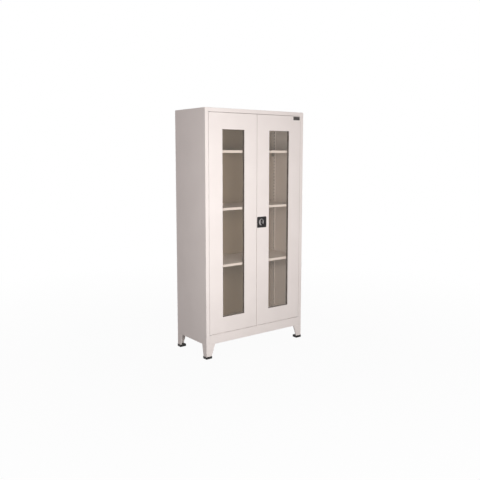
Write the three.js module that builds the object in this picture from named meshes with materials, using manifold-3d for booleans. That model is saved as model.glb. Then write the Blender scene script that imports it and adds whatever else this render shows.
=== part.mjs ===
// Glass door medical cabinet: two glazed swing doors on a folded steel carcass that stands on four legs.
// Millimetres, +Z up, the front towards -Y, the origin on the floor under the middle of the cabinet's box.
import * as THREE from "three";
import { mergeVertices } from "three/addons/utils/BufferGeometryUtils.js";
import Module from "manifold-3d";

const wasm = await Module();
wasm.setup();

// Carcass
const WIDTH = 920;
const DEPTH = 400;
const HEIGHT = 1800;
const SHEET = 1; // folded steel sheet
const FIT = 0.3; // clearance between neighbouring pieces
const STILE = 28; // face width of the two front stiles
const STILE_RETURN = 24; // how far a stile folds back into the cabinet
const TOP_RAIL = 28; // face height above the doors
const PLINTH = 68; // face height below the doors
const PLINTH_RETURN = 25;
const REAR_FLANGE = 15;
const SIDE_FOOT = 25; // inward fold along the bottom of a side panel
const TOP_FLANGE = 20; // downward fold around the top panel

// Legs and shoes
const LEG_HEIGHT = 104;
const LEG_SHEET = 2;
const LEG_FRONT_TOP = 76; // leg width across the front face, at the carcass
const LEG_FRONT_FOOT = 46; // the same at the floor
const LEG_SIDE_TOP = 56;
const LEG_SIDE_FOOT = 40;
const LEG_LIP = 10; // stiffening fold along a leg's free edges
const SHOE_HEIGHT = 17;
const SHOE_FLOOR = 5;
const SHOE_WALL = 3;
const SHOE_CORNER = 4;

// Doors
const DOOR_THICKNESS = 22;
const DOOR_GAP = 3; // gap round and between the doors
const DOOR_BORDER = 116; // steel border round a window
const STOP_GAP = 2; // door back to stop lip
const STOP_LIP = 12;
const STOP_SETBACK = 28; // stop lip ends short of the door's hinge edge by this
const GLASS_THICKNESS = 4;
const GLASS_LAP = 12; // glass hidden behind the border
const GASKET_LIP = 1.2;
const GASKET_EDGE = 1.5;
const PIVOT_INSET = 10; // pivot axis from the door's hinge edge
const PIVOT_DEPTH = 6; // pivot axis behind the door's front
const PIVOT_RADIUS = 4;
const PIVOT_LENGTH = 14; // pin beyond its collar, each way
const COLLAR_RADIUS = 7;

// Lock on the right door
const LOCK_BACKSET = 44.5; // lock axis from the meeting edge
const LOCK_HEIGHT = 969; // lock axis above the floor
const LOCK_PLATE_WIDTH = 86;
const LOCK_PLATE_HEIGHT = 82;
const LOCK_PLATE_CORNER = 7;
const LOCK_PLATE_PROUD = 4;
const DISH_RADIUS = 27;
const DISH_DEPTH = 6; // dish floor behind the door's front
const DISH_WALL = 2;
const KNOB_RADIUS = 24;
const KNOB_DISC = 3;
const FIN_LENGTH = 42;
const FIN_WIDTH = 16;
const FIN_END = 8; // width of the grip fin at its two ends
const FIN_PROUD = 9; // grip fin in front of the door's front
const SHAFT_RADIUS = 5;
const BARREL_RADIUS = 5;
const BARREL_SINK = 0.4; // barrel face below the fin's face
const KEYWAY_WIDTH = 1.4;
const KEYWAY_HEIGHT = 7;
const KEYWAY_DEPTH = 6;
const CAM_THICKNESS = 2;
const CAM_WIDTH = 14;
const ROD_TRAVEL = 20; // throw of each locking rod over a quarter turn
const CAM_PIN_RADIUS = 3;
const CAM_PIN_PLAY = 1;
const ROD_WIDTH = 12;
const ROD_THICKNESS = 3;
const ROD_PLAY = 0.6; // running clearance of a rod in its holes
const YOKE_WALL = 4;
const ROD_SINK = 1; // rod ends below the door's edges when drawn in
const GUIDE_WIDTH = 24;
const GUIDE_HEIGHT = 20;
const GUIDE_BRIDGE = 2.5;
const GUIDE_INSET = 40; // guide from the door's top or bottom edge

// Magnetic catch of the left door
const MAGNET_WIDTH = 40;
const MAGNET_DEPTH = 20;
const MAGNET_DROP = 18; // magnet face height, below the stop lip
const MAGNET_INSET = 12; // catch from the left door's meeting edge
const STRIKE_THICKNESS = 1;

// Shelves and the slotted uprights that carry them
const LEVELS = ["lower", "middle", "upper"]; // one shelf at each
const SHELF_FRONT = 30; // shelf front behind the cabinet's front
const SHELF_BACK_GAP = 10;
const SHELF_LIP = 19;
const SHELF_RETURN = 16;
const SHELF_SIDE_GAP = 1;
const UPRIGHT_WIDTH = 40;
const UPRIGHT_DEPTH = 10;
const UPRIGHT_SHEET = 1.5;
const FRONT_UPRIGHT = 72; // front uprights' centre behind the cabinet's front
const REAR_UPRIGHT = 51; // rear uprights' centre in front of the cabinet's rear
const SLOT_PITCH = 26;
const SLOT_WIDTH = 7;
const SLOT_HEIGHT = 12;
const SLOT_ROWS = 24; // between the two slot rows of an upright
const CLIP_WIDTH = 34;
const CLIP_SHEET = 2;
const CLIP_LEDGE = 14;
const CLIP_RISE = 15; // shelf seat above the slot's middle
const CLIP_DROP = 12; // clip plate below the slot's middle
const HOOK_WIDTH = 3;
const HOOK_SHEET = 1.5;

const ROUND_FACETS = 14; // facets of half a round piece
const CORNER_FACETS = 2; // facets of half a rounded corner
const FIN_FACETS = 5;
const OVERCUT = 2; // how far a cutting tool runs past the face it cuts

// Places worked out from the sizes above
const HALF_WIDTH = WIDTH / 2;
const FRONT = -DEPTH / 2;
const BACK = DEPTH / 2;
const UNDER_TOP = HEIGHT - SHEET - FIT;
const INNER_SIDE = HALF_WIDTH - SHEET - FIT;
const BACK_PANEL_REAR = BACK - SHEET - FIT;
const BACK_PANEL_FRONT = BACK_PANEL_REAR - SHEET;
const OPENING_SIDE = HALF_WIDTH - STILE;
const OPENING_TOP = HEIGHT - TOP_RAIL;
const OPENING_BOTTOM = LEG_HEIGHT + PLINTH;
const STOP_FRONT = FRONT + DOOR_THICKNESS + STOP_GAP;
const STOP_REAR = STOP_FRONT + SHEET;

const DOOR_INNER = DOOR_GAP / 2;
const DOOR_OUTER = OPENING_SIDE - DOOR_GAP;
const DOOR_TOP = OPENING_TOP - DOOR_GAP;
const DOOR_BOTTOM = OPENING_BOTTOM + DOOR_GAP;
const DOOR_REAR = FRONT + DOOR_THICKNESS;
const PIVOT_X = DOOR_OUTER - PIVOT_INSET;
const PIVOT_Y = FRONT + PIVOT_DEPTH;
const WINDOW = {
  x: [DOOR_INNER + DOOR_BORDER, DOOR_OUTER - DOOR_BORDER],
  z: [DOOR_BOTTOM + DOOR_BORDER, DOOR_TOP - DOOR_BORDER],
};
const GASKET_FRONT = FRONT + SHEET + FIT;
const GLASS_FRONT = GASKET_FRONT + GASKET_LIP + FIT;
const GLASS_REAR = GLASS_FRONT + GLASS_THICKNESS;
const GASKET_REAR = GLASS_REAR + FIT + GASKET_LIP;
const JAMB_FRONT = GASKET_REAR + FIT;

const LOCK_X = DOOR_INNER + LOCK_BACKSET;
const DISH_FLOOR = FRONT + DISH_DEPTH;
const DISH_REAR = DISH_FLOOR + DISH_WALL;
const DISC_REAR = DISH_FLOOR - FIT;
const DISC_FRONT = DISC_REAR - KNOB_DISC;
const FIN_FRONT = FRONT - FIN_PROUD;
const CAM_FRONT = DISH_REAR + FIT;
const CAM_REAR = CAM_FRONT + CAM_THICKNESS;
const ROD_FRONT = CAM_REAR + ROD_PLAY;
const ROD_REAR = ROD_FRONT + ROD_THICKNESS;
const CAM_ARM = ROD_TRAVEL / (2 * Math.sin(Math.PI / 4));
const CAM_PIN_NEAR = CAM_ARM * Math.cos(Math.PI / 4);
const ROD_OFFSET = (CAM_ARM + CAM_PIN_NEAR) / 2;
const YOKE_SLOT = {
  halfWidth: (CAM_ARM - CAM_PIN_NEAR) / 2 + CAM_PIN_RADIUS + CAM_PIN_PLAY,
  halfHeight: CAM_PIN_RADIUS + CAM_PIN_PLAY,
};

const UPRIGHT_FACE = INNER_SIDE - UPRIGHT_DEPTH;
const UPRIGHT_FOOT = OPENING_BOTTOM + FIT;
const UPRIGHT_TOP = HEIGHT - TOP_FLANGE - FIT;
const FIRST_SLOT = OPENING_BOTTOM + 2 * SLOT_PITCH;
const LAST_SLOT_LIMIT = UPRIGHT_TOP - SLOT_HEIGHT;
const SLOT_COUNT = Math.floor((LAST_SLOT_LIMIT - FIRST_SLOT) / SLOT_PITCH) + 1;
const SHELF_STEP = 2 * Math.ceil(SLOT_COUNT / (2 * (LEVELS.length + 1))); // an even number of slots
const SHELF_SIDE = UPRIGHT_FACE - SHELF_SIDE_GAP;

// Materials
const cream = { color: 0xe9e3dc, roughness: 0.45, metalness: 0 };
const black = { color: 0x1c1b1b, roughness: 0.5, metalness: 0 };
const chrome = { color: 0xd8d8d8, roughness: 0.12, metalness: 1 };
const zinc = { color: 0xa9aaab, roughness: 0.4, metalness: 1 };
const rubber = { color: 0x2b2a29, roughness: 0.8, metalness: 0 };
const glass = { color: 0xdfe9e6, roughness: 0.03, metalness: 0, transparent: true, opacity: 0.25 };
const nylon = { color: 0xe4e2da, roughness: 0.5, metalness: 0 };

// Solids from three.js geometry
function solid(geometry) {
  const bare = geometry.clone();
  bare.deleteAttribute("normal");
  bare.deleteAttribute("uv");
  const merged = mergeVertices(bare);
  return new wasm.Manifold(new wasm.Mesh({
    numProp: 3,
    vertProperties: new Float32Array(merged.attributes.position.array),
    triVerts: new Uint32Array(merged.index.array),
  }));
}

// A box between two values along each axis
function block([x0, x1], [y0, y1], [z0, z1]) {
  const box = new THREE.BoxGeometry();
  const corners = box.attributes.position;
  for (let i = 0; i < corners.count; i += 1) {
    corners.setXYZ(i,
      corners.getX(i) < 0 ? x0 : x1, corners.getY(i) < 0 ? y0 : y1, corners.getZ(i) < 0 ? z0 : z1);
  }
  return solid(box);
}

// An outline run out to a solid: place says where a point of its near or far face lies
function prism(outline, place, facets) {
  const run = new THREE.ExtrudeGeometry(outline, { depth: 1, bevelEnabled: false, curveSegments: facets });
  const points = run.attributes.position;
  for (let i = 0; i < points.count; i += 1) {
    points.setXYZ(i, ...place(points.getX(i), points.getY(i), points.getZ(i) > 0.5));
  }
  return solid(run);
}

// An outline drawn in plan, raised from z0 to z1
const raised = (outline, z0, z1, facets = CORNER_FACETS) => prism(
  outline, (x, y, far) => [x, y, far ? z1 : z0], facets);

// An outline drawn as (y, z), run across from x0 to x1
const across = (outline, x0, x1, facets = CORNER_FACETS) => prism(
  outline, (y, z, far) => [far ? x1 : x0, y, z], facets);

// An outline drawn as (x, z) as seen from the front, run forward from y1 to y0
const frontal = (outline, y0, y1, facets = CORNER_FACETS) => prism(
  outline, (x, z, far) => [x, far ? y0 : y1, z], facets);

const circle = (radius, x, y) => new THREE.Shape().absarc(x, y, radius, 0, 2 * Math.PI);
const roundUpright = (radius, z0, z1, x, y) => raised(circle(radius, x, y), z0, z1, ROUND_FACETS);
const roundFrontal = (radius, y0, y1, x, z) => frontal(circle(radius, x, z), y0, y1, ROUND_FACETS);

const join = (...solids) => solids.reduce((whole, piece) => whole.add(piece));
const cut = (whole, ...tools) => tools.reduce((rest, tool) => rest.subtract(tool), whole);
const span = (a, b) => [Math.min(a, b), Math.max(a, b)];
const grown = ([low, high], by) => [low - by, high + by];
const about = (middle, size) => [middle - size / 2, middle + size / 2];
const sided = (side, [near, far]) => (side > 0 ? [near, far] : [-far, -near]);

// The outline of a sheet folded along a path: the path and its copy one thickness to its right
function folded(path, thickness) {
  const points = path.map(([x, y]) => new THREE.Vector2(x, y));
  const rightOf = (from, to) => {
    const run = to.clone().sub(from).normalize();
    return new THREE.Vector2(run.y, -run.x);
  };
  const offset = points.map((point, index) => {
    const before = index > 0 ? rightOf(points[index - 1], point) : rightOf(point, points[1]);
    const after = index < points.length - 1 ? rightOf(point, points[index + 1]) : before;
    const mitre = before.clone().add(after);
    return point.clone().addScaledVector(mitre, thickness / (1 + before.dot(after)));
  });
  return [...points, ...offset.reverse()];
}

const mirrored = (points, side) => new THREE.Shape(points.map((p) => new THREE.Vector2(side * p.x, p.y)));

function roundedRectangle(x0, x1, y0, y1, radius) {
  const outline = new THREE.Shape();
  outline.absarc(x1 - radius, y1 - radius, radius, 0, Math.PI / 2);
  outline.absarc(x0 + radius, y1 - radius, radius, Math.PI / 2, Math.PI);
  outline.absarc(x0 + radius, y0 + radius, radius, Math.PI, 1.5 * Math.PI);
  outline.absarc(x1 - radius, y0 + radius, radius, 1.5 * Math.PI, 2 * Math.PI);
  return outline;
}

const cabinet = new THREE.Group();
cabinet.position.y = (FIN_PROUD - SHOE_WALL) / 2;

function add(name, body, finish) {
  const mesh = body.getMesh();
  const geometry = new THREE.BufferGeometry();
  geometry.setAttribute("position", new THREE.BufferAttribute(new Float32Array(mesh.vertProperties), 3));
  geometry.setIndex(new THREE.BufferAttribute(new Uint32Array(mesh.triVerts), 1));
  geometry.computeVertexNormals();
  const part = new THREE.Mesh(geometry, new THREE.MeshStandardMaterial(finish));
  part.name = name;
  cabinet.add(part);
}

// Carcass panels
function sidePanel(side) {
  const section = folded([
    [HALF_WIDTH - REAR_FLANGE, BACK],
    [HALF_WIDTH, BACK],
    [HALF_WIDTH, FRONT],
    [OPENING_SIDE, FRONT],
    [OPENING_SIDE, FRONT + STILE_RETURN],
  ], SHEET);
  const wall = raised(mirrored(section, side), LEG_HEIGHT, UNDER_TOP);
  const foot = block(
    sided(side, [HALF_WIDTH - SIDE_FOOT, HALF_WIDTH]), [FRONT, BACK], [LEG_HEIGHT, LEG_HEIGHT + SHEET]);
  return join(wall, foot);
}

function backPanel() {
  return block([-INNER_SIDE, INNER_SIDE], [BACK_PANEL_FRONT, BACK_PANEL_REAR],
    [LEG_HEIGHT + SHEET + FIT, UNDER_TOP]);
}

function topPanel() {
  const flangeFoot = HEIGHT - TOP_FLANGE;
  const flangeRear = BACK_PANEL_FRONT - FIT;
  const flangeFront = FRONT + STILE_RETURN + FIT;
  const sheet = block([-HALF_WIDTH, HALF_WIDTH], [FRONT, BACK], [HEIGHT - SHEET, HEIGHT]);
  const rear = block([-INNER_SIDE, INNER_SIDE], [flangeRear - SHEET, flangeRear], [flangeFoot, HEIGHT]);
  const sides = [-1, 1].map((side) => block(
    sided(side, [INNER_SIDE - SHEET, INNER_SIDE]), [flangeFront, flangeRear], [flangeFoot, HEIGHT]));
  return join(sheet, rear, ...sides);
}

function bottomPanel() {
  const y = [STOP_REAR + FIT, BACK_PANEL_FRONT - FIT];
  const z = [LEG_HEIGHT + SHEET + FIT, OPENING_BOTTOM];
  const pan = block([-INNER_SIDE, INNER_SIDE], y, z);
  const hollow = block(
    [SHEET - INNER_SIDE, INNER_SIDE - SHEET], grown(y, -SHEET), [z[0] - OVERCUT, z[1] - SHEET]);
  return cut(pan, hollow);
}

// Door header and plinth: the rails above and below the doors, each with a stop lip behind the doors
const RAIL_SIDE = OPENING_SIDE - FIT;
const STOP_SIDE = DOOR_OUTER - STOP_SETBACK;

const pivotHole = (side, z) =>
  roundUpright(PIVOT_RADIUS + FIT, z - OVERCUT, z + OVERCUT, side * PIVOT_X, PIVOT_Y);

function rodHole(x, z) {
  return block(
    about(x, ROD_WIDTH + 2 * ROD_PLAY), grown([ROD_FRONT, ROD_REAR], ROD_PLAY), grown([z, z], OVERCUT));
}

function doorHeader() {
  const section = folded([
    [STOP_REAR, OPENING_TOP],
    [FRONT, OPENING_TOP],
    [FRONT, UNDER_TOP],
  ], SHEET);
  const rail = across(new THREE.Shape(section), -RAIL_SIDE, RAIL_SIDE);
  const stop = block(
    [-STOP_SIDE, STOP_SIDE], [STOP_FRONT, STOP_REAR], [OPENING_TOP - STOP_LIP, OPENING_TOP + SHEET]);
  const middle = OPENING_TOP + SHEET / 2;
  const pivotHoles = [pivotHole(-1, middle), pivotHole(1, middle)];
  return cut(join(rail, stop), ...pivotHoles, rodHole(LOCK_X + ROD_OFFSET, middle));
}

function frontPlinth() {
  const section = folded([
    [FRONT + PLINTH_RETURN, LEG_HEIGHT],
    [FRONT, LEG_HEIGHT],
    [FRONT, OPENING_BOTTOM],
    [STOP_REAR, OPENING_BOTTOM],
  ], SHEET);
  const rail = across(new THREE.Shape(section), -RAIL_SIDE, RAIL_SIDE);
  const stop = block(
    [-STOP_SIDE, STOP_SIDE], [STOP_FRONT, STOP_REAR], [OPENING_BOTTOM - SHEET, OPENING_BOTTOM + STOP_LIP]);
  const middle = OPENING_BOTTOM - SHEET / 2;
  const pivotHoles = [pivotHole(-1, middle), pivotHole(1, middle)];
  return cut(join(rail, stop), ...pivotHoles, rodHole(LOCK_X - ROD_OFFSET, middle));
}

// Legs: tapered angle plates with folded lips, each standing in a moulded shoe
const LEG_FOOT = SHOE_FLOOR + FIT;
const LEG_TOP = LEG_HEIGHT - FIT;

// One face of a leg as (distance from the corner, height), straight where it stands in its shoe
function legFace(foot, top) {
  return [[0, LEG_FOOT], [foot, LEG_FOOT], [foot, SHOE_HEIGHT], [top, LEG_TOP], [0, LEG_TOP]];
}

// The fold along a leg face's free edge, seen along the fold
function legLip(foot, top) {
  const edge = [[foot, LEG_FOOT], [foot, SHOE_HEIGHT], [top, LEG_TOP]];
  const inner = edge.map(([out, height]) => [out - LEG_SHEET, height]);
  return [...edge, ...inner.reverse()];
}

// An outline measured from the leg's corner, turned to the side of the cabinet it stands on
const turned = (points, sign, corner) => new THREE.Shape(
  points.map(([out, height]) => new THREE.Vector2(corner + sign * out, height)));

function leg(side, end) {
  const cornerX = -side * HALF_WIDTH;
  const cornerY = -end * BACK;
  const inX = (near, far) => span(cornerX + side * near, cornerX + side * far);
  const inY = (near, far) => span(cornerY + end * near, cornerY + end * far);
  const frontFaceOutline = turned(legFace(LEG_FRONT_FOOT, LEG_FRONT_TOP), side, cornerX);
  const frontFace = frontal(frontFaceOutline, ...inY(0, LEG_SHEET));
  const frontLipOutline = turned(legLip(LEG_FRONT_FOOT, LEG_FRONT_TOP), side, cornerX);
  const frontLip = frontal(frontLipOutline, ...inY(0, LEG_LIP));
  const sideFace = across(turned(legFace(LEG_SIDE_FOOT, LEG_SIDE_TOP), end, cornerY), ...inX(0, LEG_SHEET));
  const sideLip = across(turned(legLip(LEG_SIDE_FOOT, LEG_SIDE_TOP), end, cornerY), ...inX(0, LEG_LIP));
  const seat = block(inX(0, LEG_FRONT_TOP), inY(0, LEG_SIDE_TOP), [LEG_TOP - LEG_SHEET, LEG_TOP]);
  return join(frontFace, frontLip, sideFace, sideLip, seat);
}

function shoe(side, end) {
  const cornerX = -side * HALF_WIDTH;
  const cornerY = -end * BACK;
  const inX = (near, far) => span(cornerX + side * near, cornerX + side * far);
  const inY = (near, far) => span(cornerY + end * near, cornerY + end * far);
  const outer = roundedRectangle(
    ...inX(-SHOE_WALL, LEG_FRONT_FOOT + SHOE_WALL),
    ...inY(-SHOE_WALL, LEG_SIDE_FOOT + SHOE_WALL),
    SHOE_CORNER);
  const depth = [SHOE_FLOOR, SHOE_HEIGHT + OVERCUT];
  const thick = LEG_SHEET + FIT;
  const pockets = [
    block(inX(-FIT, LEG_FRONT_FOOT + FIT), inY(-FIT, thick), depth),
    block(inX(-FIT, thick), inY(-FIT, LEG_SIDE_FOOT + FIT), depth),
    block(inX(LEG_FRONT_FOOT - thick, LEG_FRONT_FOOT + FIT), inY(-FIT, LEG_LIP + FIT), depth),
    block(inX(-FIT, LEG_LIP + FIT), inY(LEG_SIDE_FOOT - thick, LEG_SIDE_FOOT + FIT), depth),
  ];
  return cut(raised(outer, 0, SHOE_HEIGHT), ...pockets);
}

// Slotted uprights, the clips that hook into them and the shelves on the clips
function upright(side, middle) {
  const [near, far] = about(middle, UPRIGHT_WIDTH);
  const section = folded(
    [[INNER_SIDE, near], [UPRIGHT_FACE, near], [UPRIGHT_FACE, far], [INNER_SIDE, far]], UPRIGHT_SHEET);
  const channel = raised(mirrored(section, side), UPRIGHT_FOOT, UPRIGHT_TOP);
  const web = sided(side, [UPRIGHT_FACE - OVERCUT, UPRIGHT_FACE + UPRIGHT_SHEET + OVERCUT]);
  const slots = [];
  for (let index = 0; index < SLOT_COUNT; index += 1) {
    const z = FIRST_SLOT + index * SLOT_PITCH;
    for (const row of [-1, 1]) {
      const y = middle + row * SLOT_ROWS / 2;
      slots.push(block(
        web, about(y, SLOT_WIDTH), about(z, SLOT_HEIGHT)));
    }
  }
  return cut(channel, ...slots);
}

const shelfSlot = (shelf) => FIRST_SLOT + (shelf + 1) * SHELF_STEP * SLOT_PITCH;

function clip(side, middle, shelf) {
  const slot = shelfSlot(shelf);
  const seat = slot + CLIP_RISE;
  const face = UPRIGHT_FACE - FIT;
  const behind = UPRIGHT_FACE + UPRIGHT_SHEET + FIT;
  const width = about(middle, CLIP_WIDTH);
  const plate = block(sided(side, [face - CLIP_SHEET, face]), width, [slot - CLIP_DROP, seat]);
  const ledge = block(sided(side, [face - CLIP_LEDGE, face]), width, [seat - CLIP_SHEET, seat]);
  const hooks = [-1, 1].flatMap((row) => {
    const hook = about(middle + row * SLOT_ROWS / 2, HOOK_WIDTH);
    const sill = slot - SLOT_HEIGHT / 2;
    return [
      block(sided(side, [face - CLIP_SHEET, behind + HOOK_SHEET]), hook, [sill + FIT, slot]),
      block(sided(side, [behind, behind + HOOK_SHEET]), hook, [sill - SLOT_HEIGHT / 2, slot]),
    ];
  });
  return join(plate, ledge, ...hooks);
}

function shelf(index) {
  const foot = shelfSlot(index) + CLIP_RISE + FIT;
  const top = foot + SHELF_LIP;
  const x = [-SHELF_SIDE, SHELF_SIDE];
  const y = [FRONT + SHELF_FRONT, BACK_PANEL_FRONT - SHELF_BACK_GAP];
  const tray = block(x, y, [foot, top]);
  const hollow = block(grown(x, -SHEET), grown(y, -SHEET), [foot + SHEET, top - SHEET]);
  const mouth = block(
    grown(x, -SHELF_RETURN), [y[0] + SHELF_RETURN, y[1] - SHELF_RETURN], [foot - OVERCUT, top - SHEET]);
  return cut(tray, hollow, mouth);
}

// Doors: an outer pan and an inner panel that hold the glass in its gasket between them
const doorSides = (side) => sided(side, [DOOR_INNER, DOOR_OUTER]);
const windowSides = (side) => sided(side, WINDOW.x);

function doorPan(side) {
  const x = doorSides(side);
  const z = [DOOR_BOTTOM, DOOR_TOP];
  const pan = block(x, [FRONT, DOOR_REAR], z);
  const hollow = block(grown(x, -SHEET), [FRONT + SHEET, DOOR_REAR + OVERCUT], grown(z, -SHEET));
  const window = block(windowSides(side), [FRONT - OVERCUT, DOOR_REAR], WINDOW.z);
  const plain = cut(pan, hollow, window, pivotHole(side, DOOR_TOP), pivotHole(side, DOOR_BOTTOM));
  if (side < 0) {
    return plain;
  }
  return cut(plain,
    roundFrontal(
      DISH_RADIUS + DISH_WALL + FIT, FRONT - OVERCUT, FRONT + SHEET + OVERCUT, LOCK_X, LOCK_HEIGHT),
    rodHole(LOCK_X + ROD_OFFSET, DOOR_TOP),
    rodHole(LOCK_X - ROD_OFFSET, DOOR_BOTTOM));
}

function doorInnerPanel(side) {
  const inset = -(SHEET + FIT);
  const window = windowSides(side);
  const skin = block(
    grown(doorSides(side), inset), [DOOR_REAR - SHEET, DOOR_REAR], grown([DOOR_BOTTOM, DOOR_TOP], inset));
  const jamb = block(grown(window, SHEET), [JAMB_FRONT, DOOR_REAR], grown(WINDOW.z, SHEET));
  const lip = block(grown(window, GLASS_LAP), [JAMB_FRONT, JAMB_FRONT + SHEET], grown(WINDOW.z, GLASS_LAP));
  const mouth = block(window, [FRONT, DOOR_REAR + OVERCUT], WINDOW.z);
  return cut(join(skin, jamb, lip), mouth);
}

function doorGlass(side) {
  return block(
    grown(windowSides(side), GLASS_LAP), [GLASS_FRONT, GLASS_REAR], grown(WINDOW.z, GLASS_LAP));
}

function doorGasket(side) {
  const window = windowSides(side);
  const reach = GLASS_LAP + FIT + GASKET_EDGE;
  const ring = block(grown(window, reach), [GASKET_FRONT, GASKET_REAR], grown(WINDOW.z, reach));
  const mouth = block(
    grown(window, SHEET), [FRONT, GASKET_REAR + OVERCUT], grown(WINDOW.z, SHEET));
  const groove = block(
    grown(window, GLASS_LAP + FIT),
    [GLASS_FRONT - FIT, GLASS_REAR + FIT],
    grown(WINDOW.z, GLASS_LAP + FIT));
  return cut(ring, mouth, groove);
}

// A pivot pin with the collar that keeps the door off its rail
function pivotPin(side, railFace, doorEdge) {
  const [low, high] = span(railFace, doorEdge);
  const pin = roundUpright(PIVOT_RADIUS, low - PIVOT_LENGTH, high + PIVOT_LENGTH, side * PIVOT_X, PIVOT_Y);
  const collar = roundUpright(COLLAR_RADIUS, low + FIT, high - FIT, side * PIVOT_X, PIVOT_Y);
  return join(pin, collar);
}

// Magnetic catch behind the header's stop lip, and the strike plate on the left door
const MAGNET_X = [-(DOOR_INNER + MAGNET_INSET + MAGNET_WIDTH), -(DOOR_INNER + MAGNET_INSET)];
const MAGNET_TOP = OPENING_TOP - STOP_LIP - FIT;
const STRIKE_REAR = DOOR_REAR + FIT + STRIKE_THICKNESS;

function magnetCatch() {
  const body = block(
    MAGNET_X, [STOP_REAR + FIT, STOP_REAR + MAGNET_DEPTH], [MAGNET_TOP - MAGNET_DROP, OPENING_TOP]);
  const nose = block(
    MAGNET_X, [STRIKE_REAR + FIT, STOP_REAR + MAGNET_DEPTH], [MAGNET_TOP - MAGNET_DROP, MAGNET_TOP]);
  return join(body, nose);
}

function strikePlate() {
  return block(MAGNET_X, [DOOR_REAR + FIT, STRIKE_REAR], [MAGNET_TOP - MAGNET_DROP, MAGNET_TOP]);
}

// Lock: dished plate, turning knob with a key barrel in its fin, cam and two locking rods
function lockPlate() {
  const outline = roundedRectangle(
    ...about(LOCK_X, LOCK_PLATE_WIDTH), ...about(LOCK_HEIGHT, LOCK_PLATE_HEIGHT),
    LOCK_PLATE_CORNER);
  const plate = frontal(outline, FRONT - FIT - LOCK_PLATE_PROUD, FRONT - FIT);
  const cup = roundFrontal(
    DISH_RADIUS + DISH_WALL, FRONT - FIT - LOCK_PLATE_PROUD / 2, DISH_REAR, LOCK_X, LOCK_HEIGHT);
  const dish = roundFrontal(DISH_RADIUS, FRONT - FIN_PROUD, DISH_FLOOR, LOCK_X, LOCK_HEIGHT);
  const bore = roundFrontal(
    SHAFT_RADIUS + FIT, DISH_FLOOR - OVERCUT, DISH_REAR + OVERCUT, LOCK_X, LOCK_HEIGHT);
  return cut(join(plate, cup), dish, bore);
}

function finOutline() {
  const half = FIN_LENGTH / 2;
  const end = FIN_END / 2;
  const belly = FIN_WIDTH - FIN_END / 2;
  const [x, z] = [LOCK_X, LOCK_HEIGHT];
  const outline = new THREE.Shape();
  outline.moveTo(x + end, z + end - half);
  outline.quadraticCurveTo(x + belly, z, x + end, z + half - end);
  outline.absarc(x, z + half - end, end, 0, Math.PI);
  outline.quadraticCurveTo(x - belly, z, x - end, z + end - half);
  outline.absarc(x, z + end - half, end, Math.PI, 2 * Math.PI);
  return outline;
}

function lockKnob() {
  const disc = roundFrontal(KNOB_RADIUS, DISC_FRONT, DISC_REAR, LOCK_X, LOCK_HEIGHT);
  const fin = frontal(finOutline(), FIN_FRONT, DISC_REAR - KNOB_DISC / 2, FIN_FACETS);
  const shaft = roundFrontal(SHAFT_RADIUS, DISC_FRONT, CAM_REAR, LOCK_X, LOCK_HEIGHT);
  const bore = roundFrontal(BARREL_RADIUS + FIT, FIN_FRONT - OVERCUT, DISC_FRONT, LOCK_X, LOCK_HEIGHT);
  return cut(join(disc, fin, shaft), bore);
}

function keyBarrel() {
  const face = FIN_FRONT + BARREL_SINK;
  const barrel = roundFrontal(BARREL_RADIUS, face, DISC_FRONT - FIT, LOCK_X, LOCK_HEIGHT);
  const keyway = block(
    about(LOCK_X, KEYWAY_WIDTH), [face - OVERCUT, face + KEYWAY_DEPTH], about(LOCK_HEIGHT, KEYWAY_HEIGHT));
  return cut(barrel, keyway);
}

// The cam's two pins stand below and above the axis, so a quarter turn throws both rods
function lockCam() {
  const end = CAM_WIDTH / 2;
  const eighth = Math.PI / 4;
  const lowPin = [LOCK_X + CAM_PIN_NEAR, LOCK_HEIGHT - CAM_PIN_NEAR];
  const highPin = [LOCK_X - CAM_PIN_NEAR, LOCK_HEIGHT + CAM_PIN_NEAR];
  const arm = new THREE.Shape();
  arm.absarc(...lowPin, end, -3 * eighth, eighth);
  arm.absarc(...highPin, end, eighth, 5 * eighth);
  const plate = frontal(arm, CAM_FRONT, CAM_REAR, FIN_FACETS);
  const pins = [lowPin, highPin].map(([x, z]) => roundFrontal(
    CAM_PIN_RADIUS, CAM_FRONT, ROD_REAR + ROD_PLAY, x, z));
  const bore = roundFrontal(
    SHAFT_RADIUS + FIT, CAM_FRONT - OVERCUT, CAM_REAR + OVERCUT, LOCK_X, LOCK_HEIGHT);
  return cut(join(plate, ...pins), bore);
}

// A rod that runs up (way 1) or down (way -1) from the yoke on its cam pin
function lockRod(way) {
  const x = LOCK_X + way * ROD_OFFSET;
  const yoke = LOCK_HEIGHT - way * CAM_PIN_NEAR;
  const tip = way > 0 ? DOOR_TOP - ROD_SINK : DOOR_BOTTOM + ROD_SINK;
  const y = [ROD_FRONT, ROD_REAR];
  const bar = block(about(x, ROD_WIDTH), y, span(yoke, tip));
  const halfWidth = YOKE_SLOT.halfWidth + YOKE_WALL;
  const halfHeight = YOKE_SLOT.halfHeight + YOKE_WALL;
  const frame = block(grown([x, x], halfWidth), y, grown([yoke, yoke], halfHeight));
  const slot = block(
    grown([x, x], YOKE_SLOT.halfWidth), grown(y, OVERCUT), grown([yoke, yoke], YOKE_SLOT.halfHeight));
  return cut(join(bar, frame), slot);
}

function rodGuide(way) {
  const x = LOCK_X + way * ROD_OFFSET;
  const z = way > 0 ? DOOR_TOP - GUIDE_INSET : DOOR_BOTTOM + GUIDE_INSET;
  const base = block(
    about(x, GUIDE_WIDTH), [FRONT + SHEET + FIT, ROD_REAR + GUIDE_BRIDGE], about(z, GUIDE_HEIGHT));
  const channel = block(
    about(x, ROD_WIDTH + 2 * FIT), grown([ROD_FRONT, ROD_REAR], FIT), grown([z, z], GUIDE_HEIGHT));
  return cut(base, channel);
}

// The whole cabinet
const SIDES = [["left", -1], ["right", 1]];
const ENDS = [["front", -1], ["rear", 1]];

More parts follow.
